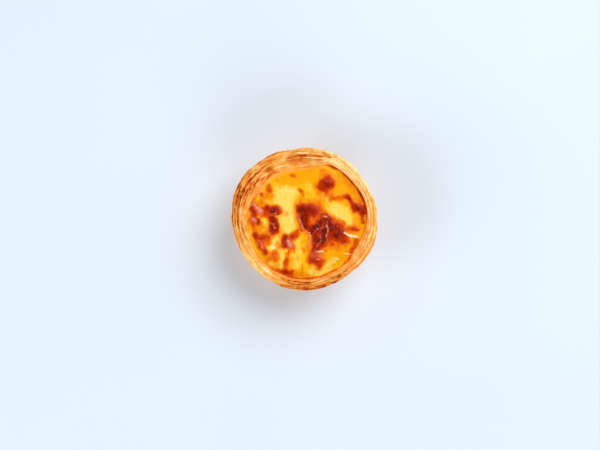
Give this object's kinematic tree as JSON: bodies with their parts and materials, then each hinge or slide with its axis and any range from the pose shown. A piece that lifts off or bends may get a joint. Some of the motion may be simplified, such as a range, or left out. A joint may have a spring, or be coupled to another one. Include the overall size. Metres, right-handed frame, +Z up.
{
  "type": "portuguese custard tart",
  "caption": "Round custard tart: a flaky puff pastry case with a leafy uneven rim, filled with baked custard that is scorched in patches.",
  "frame": {"origin": "middle of the flat underside that the tart stands on, under the centre of its bounding box", "axes": "+Z up through the custard, +X along the slightly longer way across the rim"},
  "size_m": [0.0764, 0.0744, 0.0285],
  "materials": {
    "pastry": "baked puff pastry, golden with browner edges; matte plastic stands in for the food",
    "custard": "baked egg custard, glossy yellow skin with dark scorched patches; gloss plastic stands in for the food"
  },
  "bodies": {
    "root": {"pastry_case": "pastry", "custard": "custard"}
  },
  "joints": []
}
